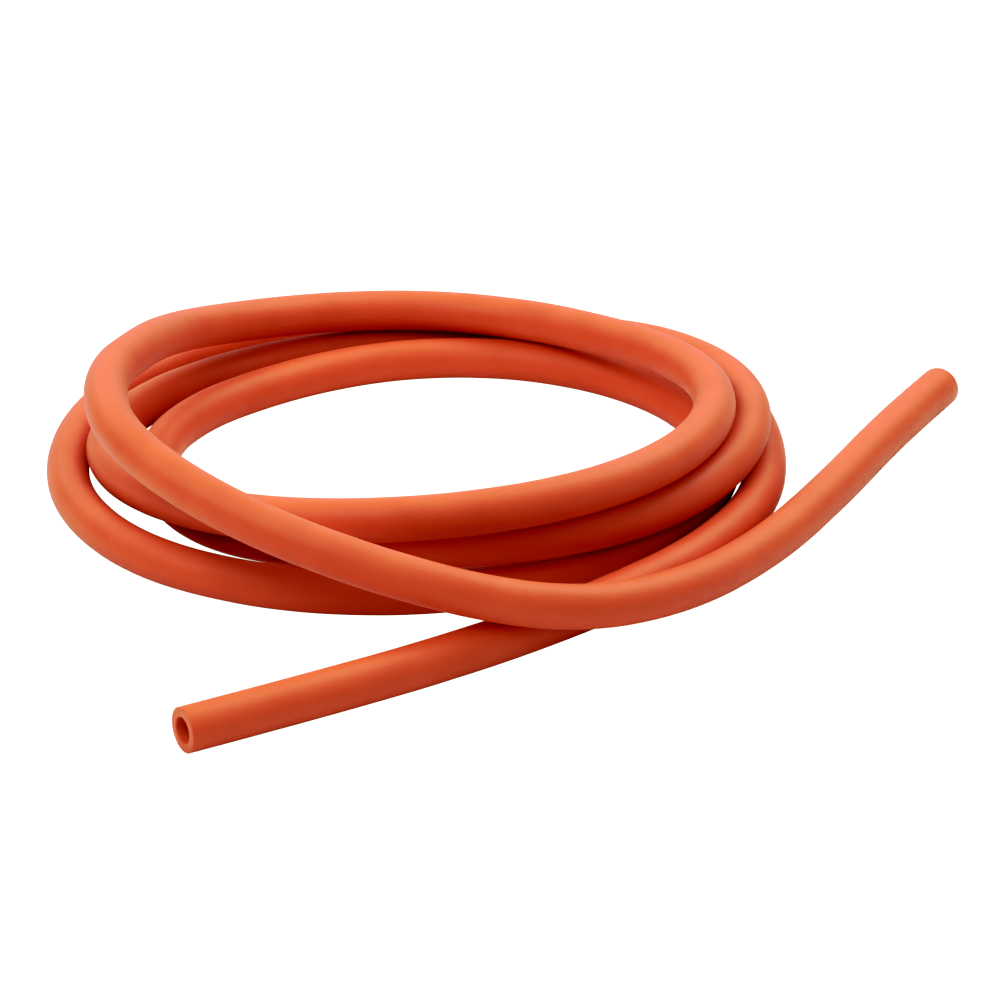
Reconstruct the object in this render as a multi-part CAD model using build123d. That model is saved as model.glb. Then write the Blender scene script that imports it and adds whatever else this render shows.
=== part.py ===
"""Rubber vacuum tubing: one thick-walled rubber tube lying in a loose coil of four turns."""

import os
from math import cos, radians, sin, tan

from build123d import *

# Tube section, in millimetres
OUTER_DIAMETER = 14.0
BORE_DIAMETER = 8.0
RIM_ROUNDING = 0.4

# Coil, in millimetres: the radius of its plainest turn at the centre line, and the gap
# that is left between two turns that lie on or beside each other
COIL_RADIUS = 105.0
TURN_CLEARANCE = 0.5
TURN_PITCH = OUTER_DIAMETER + TURN_CLEARANCE

# Share of the shorter neighbouring run that an arc takes up on each side of its corner
ARC_SHARE = 0.45

# A point of the route is (angle, offset, layer): degrees around the coil's middle, then how
# many tubes it lies outside COIL_RADIUS, and how many tubes above one that lies on the floor
NEAR_TAIL = [
    (-108.5, 7.55, 0),
    (-100.5, 5.75, 0),
    (-91, 3.9, 0),
    (-79, 2.7, 0),
    (-64, 1.6, 0),
]
FAR_TAIL = [
    (1367, 3.2, 0.7),
    (1384, 2.5, 0.2),
    (1405, 1.9, 0),
    (1427.5, 2.2, 0),
    (1447.5, 3.55, 0),
    (1458, 5.65, 0),
]

# The loose turns, one row each from the floor up, as (offset, layer) at every eighth of a
# turn, counter-clockwise from the front right
COIL_START_ANGLE = -45
STATIONS_PER_TURN = 8
TURNS = [
    [(1.1, 0), (0.6, 0), (1.1, 0), (1.7, 0), (1, 0), (1.1, 0), (1.35, 0.1), (0.5, 0)],
    [(-0.2, 0), (-0.4, 0.1), (-1, 0), (-1.6, 0.1), (-1.7, 0), (-1.1, 0.25), (-0.4, 0.3), (0.2, 1)],
    [(0.25, 0.9), (0.2, 0.95), (0.15, 0.7), (-0.25, 0), (-0.45, 0), (-0.2, 0.8), (1.4, 1.65), (1.6, 2.25)],
    [(0, 1.9), (-0.65, 1.55), (-1, 1.05), (-0.7, 0.95), (-0.7, 1.4), (-0.6, 2.6), (1.9, 3), (3.25, 1.5)],
]


def route_point(angle, offset, layer):
    """Place one point of the centre line about the coil's middle, no lower than the floor."""
    reach = COIL_RADIUS + offset * TURN_PITCH
    height = OUTER_DIAMETER / 2 + max(layer, 0) * TURN_PITCH
    return Vector(reach * cos(radians(angle)), reach * sin(radians(angle)), height)


def halfway(before, here, there, after):
    """Value midway between two stations, on a smooth curve through four of them."""
    return (9 * (here + there) - (before + after)) / 16


def coil_points():
    """Points of the loose turns: every station, and one halfway to the next station."""
    stations = [station for turn in TURNS for station in turn]
    first = [2 * a - b for a, b in zip(stations[0], stations[1])]
    last = [2 * a - b for a, b in zip(stations[-1], stations[-2])]
    padded = [first, *stations, last]
    step = 360 / STATIONS_PER_TURN
    points = []
    for index, station in enumerate(stations):
        angle = COIL_START_ANGLE + index * step
        points.append(route_point(angle, *station))
        if index + 1 < len(stations):
            between = [halfway(*values) for values in zip(*padded[index:index + 4])]
            points.append(route_point(angle + step / 2, *between))
    return points


def route_points():
    """Every point of the centre line, from the near end to the far end."""
    near = [route_point(*point) for point in NEAR_TAIL]
    far = [route_point(*point) for point in FAR_TAIL]
    return near + coil_points() + far


def arc_radii(points):
    """Radius of the tangent arc at each corner: as large as its two runs allow."""
    radii = []
    for before, corner, after in zip(points, points[1:], points[2:]):
        run_in = corner - before
        run_out = after - corner
        half_turn = radians(run_in.get_angle(run_out)) / 2
        radii.append(ARC_SHARE * min(run_in.length, run_out.length) / tan(half_turn))
    return radii


def centre_line(points):
    """Straight runs between the points, joined by tangent arcs."""
    return FilletPolyline(*points, radius=arc_radii(points))


def rubber_tube(path):
    """Thick-walled tube along the path, cut square at both ends, with softened rims."""
    start = Plane(origin=path @ 0, z_dir=path % 0)
    wall = Circle(OUTER_DIAMETER / 2) - Circle(BORE_DIAMETER / 2)
    tube = sweep(start * wall, path=path)
    ends = [path @ 0, path @ 1]
    rims = [
        edge
        for edge in tube.edges().filter_by(GeomType.CIRCLE)
        if min((edge.arc_center - end).length for end in ends) < RIM_ROUNDING / 2
    ]
    return fillet(rims, RIM_ROUNDING)


def main():
    points = route_points()
    path = centre_line(points)
    tube = rubber_tube(path)
    box = tube.bounding_box()
    middle = Vector(box.center().X, box.center().Y, 0)
    tube = Pos(-middle) * tube
    os.makedirs("parts", exist_ok=True)
    export_step(tube, "parts/vacuum_tubing.step")

    radii = arc_radii(points)
    section = Circle(OUTER_DIAMETER / 2).area - Circle(BORE_DIAMETER / 2).area
    print("arc radii", [round(radius) for radius in radii])
    print("smallest radius in diameters", round(min(radii) / OUTER_DIAMETER, 2))
    print("length", round(path.length, 1))
    print("volume", round(tube.volume), "section times length", round(section * path.length))
    print("coil middle", -middle)
    print("near end", path @ 0 - middle, "outward", -(path % 0))
    print("far end", path @ 1 - middle, "outward", path % 1)
    print("lowest", box.min.Z, "size", box.size)


main()
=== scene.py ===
"""Rubber vacuum tubing: one thick-walled orange-red tube lying in a loose coil. Metres, +Z up."""

from math import cos, pi, radians, sin

import bpy
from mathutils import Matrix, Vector, noise


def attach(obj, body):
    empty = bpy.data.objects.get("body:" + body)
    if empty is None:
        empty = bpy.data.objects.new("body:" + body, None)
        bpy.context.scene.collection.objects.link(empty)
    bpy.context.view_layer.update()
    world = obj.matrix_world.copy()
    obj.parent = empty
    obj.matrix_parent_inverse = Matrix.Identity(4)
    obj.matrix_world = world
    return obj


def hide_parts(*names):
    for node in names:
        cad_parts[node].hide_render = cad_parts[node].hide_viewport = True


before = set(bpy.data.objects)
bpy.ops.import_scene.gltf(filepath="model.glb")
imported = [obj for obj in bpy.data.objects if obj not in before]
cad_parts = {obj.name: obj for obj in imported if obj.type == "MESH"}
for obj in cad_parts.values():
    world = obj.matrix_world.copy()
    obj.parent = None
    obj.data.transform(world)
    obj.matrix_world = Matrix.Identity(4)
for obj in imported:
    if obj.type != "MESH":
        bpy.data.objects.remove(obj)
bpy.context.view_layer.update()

# Tube section
OUTER_DIAMETER = 0.014
BORE_DIAMETER = 0.008
RIM_ROUNDING = 0.0004

# Coil: the radius of its plainest turn, the pitch from one turn to the next, and where its middle
# stands in the frame
COIL_RADIUS = 0.105
TURN_PITCH = 0.0145
COIL_MIDDLE = Vector((-0.02876, 0.03792, 0.0))

# A point of the route is (angle, offset, layer): degrees around the coil's middle, then how
# many tubes it lies outside COIL_RADIUS, and how many tubes above one that lies on the floor.
# These points and TURNS were fitted to the photograph's outlines by a program, and rounded
NEAR_TAIL = [
    (-108.5, 7.56, 0),
    (-100.5, 5.58, 0),
    (-91, 4, 0),
    (-79, 2.67, 0),
    (-64, 1.64, 0),
]
FAR_TAIL = [
    (1367, 3.15, 0.66),
    (1384, 2.55, 0.23),
    (1405, 1.93, 0),
    (1427.5, 2.18, 0),
    (1447.5, 3.62, 0),
    (1457.89, 5.5, 0),
]

# The loose turns, one row each from the floor up, as (offset, layer) at every eighth of a
# turn, counter-clockwise from the front right
COIL_START_ANGLE = -45
STATIONS_PER_TURN = 8
TURNS = [
    [
        (1.16, 0.06), (0.57, 0), (1.04, 0.01), (1.34, 0),
        (1.1, 0.01), (1.09, 0.09), (1.44, 0.13), (0.47, 0.01),
    ],
    [
        (-0.22, 0), (-0.43, 0.02), (-0.96, 0.04), (-1.58, 0.06),
        (-1.72, 0.01), (-1.01, 0.16), (-0.42, 0.27), (0.42, 1.09),
    ],
    [
        (0.17, 0.89), (0.27, 0.99), (0.16, 0.64), (-0.36, 0.01),
        (-0.59, 0.13), (0.2, 0.44), (0.47, 1.11), (0.93, 1.96),
    ],
    [
        (0.12, 1.92), (-0.7, 1.64), (-1.34, 1.2), (-0.69, 0.94),
        (-0.58, 1.35), (-0.78, 2.66), (2, 3.07), (3.13, 1.47),
    ],
]

# Tube mesh
SIDES = 44
ROUTE_STEPS_PER_POINT = 16
BORE_RING_EVERY = 4
RIM_STEPS = 5
WAVE_HEIGHT = 0.00006
WAVE_LENGTH = 0.018

# Rubber finish, with the two colours of its mottle, fitted to the photograph's tones
DARKER_RUBBER = (0.59, 0.098, 0.047, 1)
LIGHTER_RUBBER = (0.62, 0.108, 0.053, 1)
MOTTLE_SCALE = 60.0
MOTTLE_DETAIL = 4.0
MOTTLE_SPREAD = (0.35, 0.65)
ROUGHNESS = 0.57
SPECULAR_LEVEL = 0.34
BLOOM_WEIGHT = 0.063
BLOOM_ROUGHNESS = 0.4
BLOOM_TINT = (1.0, 0.8, 0.72, 1.0)
GRAIN_SCALE = 2500.0
GRAIN_DETAIL = 3.0
GRAIN_STRENGTH = 0.08
GRAIN_DEPTH = 0.0002

# Floor
FLOOR_HALF_WIDTH = 4.0
FLOOR_COLOUR = (0.9, 0.9, 0.9, 1)
FLOOR_ROUGHNESS = 0.9

# Camera, at the photograph's viewing angle
CAMERA_TARGET = Vector((-0.00496, 0.01412, 0.0))
CAMERA_DISTANCE = 1.389
CAMERA_ELEVATION = 24.0
CAMERA_LENS = 152.06
CAMERA_SENSOR = 36.0

# Studio light: the even light all round, and the soft boxes as (name, azimuth and elevation in
# degrees, distance, width, height, watts). The watts were fitted to the photograph's tones
WORLD_LIGHT = 0.15
SOFT_BOXES = [
    ("top_light", 90, 78, 1.6, 1.2, 1.2, 5.7),
    ("back_right_light", 45, 50, 1.6, 0.9, 0.9, 10.8),
    ("left_light", 190, 45, 1.6, 0.9, 0.9, 4.3),
    ("front_left_light", 225, 50, 1.6, 0.9, 0.9, 9.1),
    ("back_light", 95, 22, 1.8, 1.6, 0.6, 3.9),
    ("right_light", 0, 40, 1.6, 0.9, 0.9, 2.8),
    ("front_light", 285, 45, 1.6, 0.9, 0.9, 2.3),
    ("back_left_light", 135, 35, 1.6, 0.9, 0.9, 3.8),
]

# How bright the floor shows, the light that shows as full white in the picture, and the tones
# between as (light, shown): deep shadows, and lights made more orange by the last two curves
FLOOR_WHITE = 1.1
WHITE_LEVEL = 0.81
TONES = [(0.041, 0.005), (0.103, 0.048), (0.211, 0.195), (0.393, 0.318), (0.704, 0.66)]
GREEN_TONES = [(0.07, 0.068), (0.12, 0.112), (0.17, 0.17), (0.21, 0.236), (0.25, 0.31)]
BLUE_TONES = [(0.01, 0.007), (0.02, 0.015), (0.1, 0.098)]


def route_point(angle, offset, layer):
    """Place one point of the centre line about the coil's middle, no lower than the floor."""
    reach = COIL_RADIUS + offset * TURN_PITCH
    height = OUTER_DIAMETER / 2 + max(layer, 0) * TURN_PITCH
    return COIL_MIDDLE + Vector((reach * cos(radians(angle)), reach * sin(radians(angle)), height))


def halfway(before, here, there, after):
    """Value midway between two stations, on a smooth curve through four of them."""
    return (9 * (here + there) - (before + after)) / 16


def coil_points():
    """Points of the loose turns: every station, and one halfway to the next station."""
    stations = [station for turn in TURNS for station in turn]
    first = [2 * a - b for a, b in zip(stations[0], stations[1])]
    last = [2 * a - b for a, b in zip(stations[-1], stations[-2])]
    padded = [first, *stations, last]
    step = 360 / STATIONS_PER_TURN
    points = []
    for index, station in enumerate(stations):
        angle = COIL_START_ANGLE + index * step
        points.append(route_point(angle, *station))
        if index + 1 < len(stations):
            between = [halfway(*values) for values in zip(*padded[index:index + 4])]
            points.append(route_point(angle + step / 2, *between))
    return points


def route_points():
    """Every point of the tube's centre line, from the near end to the far end."""
    near = [route_point(*point) for point in NEAR_TAIL]
    far = [route_point(*point) for point in FAR_TAIL]
    return near + coil_points() + far


def centre_line(points):
    """Points read from one smooth NURBS spline that has the route's points as its controls."""
    curve = bpy.data.curves.new("route", "CURVE")
    curve.dimensions = "3D"
    spline = curve.splines.new("NURBS")
    spline.points.add(len(points) - 1)
    for place, point in zip(spline.points, points):
        place.co = (*point, 1)
    spline.order_u = 3
    spline.use_endpoint_u = True
    spline.resolution_u = ROUTE_STEPS_PER_POINT
    holder = bpy.data.objects.new("route", curve)
    bpy.context.scene.collection.objects.link(holder)
    line = bpy.data.meshes.new_from_object(holder)
    path = [vertex.co.copy() for vertex in line.vertices]
    bpy.data.objects.remove(holder)
    bpy.data.curves.remove(curve)
    bpy.data.meshes.remove(line)
    return path


def travelling_frames(path):
    """At each point of the path, two directions square to it that don't twist along it."""
    frames = []
    side = Vector((0, 0, 1))
    for index, point in enumerate(path):
        ahead = path[min(index + 1, len(path) - 1)]
        behind = path[max(index - 1, 0)]
        along = (ahead - behind).normalized()
        side = (side - side.dot(along) * along).normalized()
        frames.append((point, side, along.cross(side), along))
    return frames


def ring(place, radius, waves):
    """One ring of points about the centre line, with the slight waves of extruded rubber."""
    centre, side, up, along = place
    points = []
    for step in range(SIDES):
        angle = 2 * pi * step / SIDES
        outward = cos(angle) * side + sin(angle) * up
        spot = (centre + outward * radius) / WAVE_LENGTH
        points.append(centre + outward * (radius + waves * noise.noise(spot)))
    return points


def rim_rings(place, outwards):
    """Rings over a cut end: round the outer rim, across the flat face and into the bore."""
    centre, side, up, along = place
    outer = OUTER_DIAMETER / 2
    bore = BORE_DIAMETER / 2
    rings = []
    for step in range(1, RIM_STEPS + 1):
        turn = pi / 2 * step / RIM_STEPS
        radius = outer - RIM_ROUNDING * (1 - cos(turn))
        shift = RIM_ROUNDING * (sin(turn) - 1)
        rings.append((radius, shift))
    for step in range(RIM_STEPS):
        turn = pi / 2 * step / RIM_STEPS
        radius = bore + RIM_ROUNDING * (1 - sin(turn))
        shift = RIM_ROUNDING * (cos(turn) - 1)
        rings.append((radius, shift))
    return [
        ring((centre + along * outwards * shift, side, up, along), radius, 0)
        for radius, shift in rings
    ]


def tube_rings(path):
    """Rings over the whole tube: its outside, the far end, back along the bore, the near end."""
    frames = travelling_frames(path)
    inner_frames = frames[1:-1]
    outside = [ring(place, OUTER_DIAMETER / 2, WAVE_HEIGHT) for place in inner_frames]
    bore = [ring(place, BORE_DIAMETER / 2, 0) for place in inner_frames[::BORE_RING_EVERY]]
    far_end = rim_rings(frames[-1], 1)
    near_end = rim_rings(frames[0], -1)
    return outside + far_end + bore[::-1] + near_end[::-1]


def tube_mesh(path):
    """Closed mesh of the thick-walled tube, a strip of faces from each ring to the next."""
    rings = tube_rings(path)
    vertices = [point for points in rings for point in points]
    faces = []
    for index in range(len(rings)):
        here = index * SIDES
        there = (index + 1) % len(rings) * SIDES
        for step in range(SIDES):
            after = (step + 1) % SIDES
            faces.append((here + step, here + after, there + after, there + step))
    mesh = bpy.data.meshes.new("rubber_tube")
    mesh.from_pydata(vertices, [], faces)
    mesh.shade_smooth()
    return mesh


def node(tree, kind, place, **values):
    """A shader node of one kind, with values set on its inputs by name."""
    made = tree.nodes.new(kind)
    made.location = place
    for name, value in values.items():
        made.inputs[name.replace("_", " ")].default_value = value
    return made


def rubber_material():
    """Matt orange-red rubber: a faint mottle, a fine grain, and a pale bloom at grazing edges."""
    material = bpy.data.materials.new("red_rubber")
    material.use_nodes = True
    tree = material.node_tree
    shader = tree.nodes["Principled BSDF"]
    shader.inputs["Roughness"].default_value = ROUGHNESS
    shader.inputs["Specular IOR Level"].default_value = SPECULAR_LEVEL
    shader.inputs["Sheen Weight"].default_value = BLOOM_WEIGHT
    shader.inputs["Sheen Roughness"].default_value = BLOOM_ROUGHNESS
    shader.inputs["Sheen Tint"].default_value = BLOOM_TINT
    spots = node(tree, "ShaderNodeTexCoord", (-1200, 0))
    mottle = node(
        tree, "ShaderNodeTexNoise", (-900, 200), Scale=MOTTLE_SCALE, Detail=MOTTLE_DETAIL
    )
    tree.links.new(spots.outputs["Object"], mottle.inputs["Vector"])
    colours = node(tree, "ShaderNodeValToRGB", (-600, 200))
    stops = colours.color_ramp.elements
    for stop, position, colour in zip(stops, MOTTLE_SPREAD, (DARKER_RUBBER, LIGHTER_RUBBER)):
        stop.position = position
        stop.color = colour
    tree.links.new(mottle.outputs["Fac"], colours.inputs["Fac"])
    tree.links.new(colours.outputs["Color"], shader.inputs["Base Color"])
    grain = node(
        tree, "ShaderNodeTexNoise", (-900, -300), Scale=GRAIN_SCALE, Detail=GRAIN_DETAIL
    )
    tree.links.new(spots.outputs["Object"], grain.inputs["Vector"])
    bump = node(
        tree, "ShaderNodeBump", (-500, -300), Strength=GRAIN_STRENGTH, Distance=GRAIN_DEPTH
    )
    tree.links.new(grain.outputs["Fac"], bump.inputs["Height"])
    tree.links.new(bump.outputs["Normal"], shader.inputs["Normal"])
    return material


def build_tubing(material):
    """The tube in place of its CAD solid, which it hides, attached to the root body."""
    path = centre_line(route_points())
    mesh = tube_mesh(path)
    mesh.materials.append(material)
    tubing = bpy.data.objects.new("rubber_tubing", mesh)
    bpy.context.scene.collection.objects.link(tubing)
    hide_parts("vacuum_tubing")
    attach(tubing, "root")
    return tubing


def build_floor():
    """Plain white floor, far larger than the view, that shows as evenly lit as a light table."""
    half = FLOOR_HALF_WIDTH
    mesh = bpy.data.meshes.new("floor")
    corners = [(-half, -half, 0), (half, -half, 0), (half, half, 0), (-half, half, 0)]
    mesh.from_pydata(corners, [], [(0, 1, 2, 3)])
    material = bpy.data.materials.new("floor")
    material.use_nodes = True
    tree = material.node_tree
    shader = tree.nodes["Principled BSDF"]
    shader.inputs["Base Color"].default_value = FLOOR_COLOUR
    shader.inputs["Roughness"].default_value = FLOOR_ROUGHNESS
    rays = node(tree, "ShaderNodeLightPath", (-400, 400))
    white = node(tree, "ShaderNodeEmission", (-200, -300), Strength=FLOOR_WHITE)
    shown = node(tree, "ShaderNodeMixShader", (300, 100))
    tree.links.new(rays.outputs["Is Camera Ray"], shown.inputs["Fac"])
    tree.links.new(shader.outputs["BSDF"], shown.inputs[1])
    tree.links.new(white.outputs["Emission"], shown.inputs[2])
    tree.links.new(shown.outputs["Shader"], tree.nodes["Material Output"].inputs["Surface"])
    mesh.materials.append(material)
    floor = bpy.data.objects.new("floor", mesh)
    bpy.context.scene.collection.objects.link(floor)


def soft_box(name, azimuth, elevation, distance, width, height, power):
    """A soft light that faces the frame's origin from one direction, in degrees."""
    light = bpy.data.lights.new(name, "AREA")
    light.shape = "RECTANGLE"
    light.size = width
    light.size_y = height
    light.energy = power
    lamp = bpy.data.objects.new(name, light)
    away = Vector((
        cos(radians(elevation)) * cos(radians(azimuth)),
        cos(radians(elevation)) * sin(radians(azimuth)),
        sin(radians(elevation)),
    ))
    lamp.location = away * distance
    lamp.rotation_euler = away.to_track_quat("Z", "Y").to_euler()
    bpy.context.scene.collection.objects.link(lamp)


def build_lights():
    """A white studio: even light all round, and soft boxes above and on every side."""
    world = bpy.data.worlds.new("studio")
    world.use_nodes = True
    world.node_tree.nodes["Background"].inputs["Color"].default_value = (1, 1, 1, 1)
    world.node_tree.nodes["Background"].inputs["Strength"].default_value = WORLD_LIGHT
    bpy.context.scene.world = world
    for light in SOFT_BOXES:
        soft_box(*light)


def build_camera():
    """Camera in front of the coil, looking down at the photograph's angle."""
    data = bpy.data.cameras.new("camera")
    data.lens = CAMERA_LENS
    data.sensor_width = CAMERA_SENSOR
    camera = bpy.data.objects.new("camera", data)
    tilt = radians(CAMERA_ELEVATION)
    camera.location = CAMERA_TARGET + CAMERA_DISTANCE * Vector((0, -cos(tilt), sin(tilt)))
    camera.rotation_euler = (pi / 2 - tilt, 0, 0)
    bpy.context.scene.collection.objects.link(camera)
    bpy.context.scene.camera = camera


def set_tones():
    """Plain display of the picture, with the photograph's deep shadows."""
    view = bpy.context.scene.view_settings
    view.view_transform = "Standard"
    view.use_curve_mapping = True
    tones = view.curve_mapping
    tones.white_level = (WHITE_LEVEL, WHITE_LEVEL, WHITE_LEVEL)
    green, blue, combined = tones.curves[1:]
    for curve, points in ((green, GREEN_TONES), (blue, BLUE_TONES), (combined, TONES)):
        for light, shown in points:
            curve.points.new(light, shown)
    tones.update()


set_tones()
build_tubing(rubber_material())
build_floor()
build_lights()
build_camera()
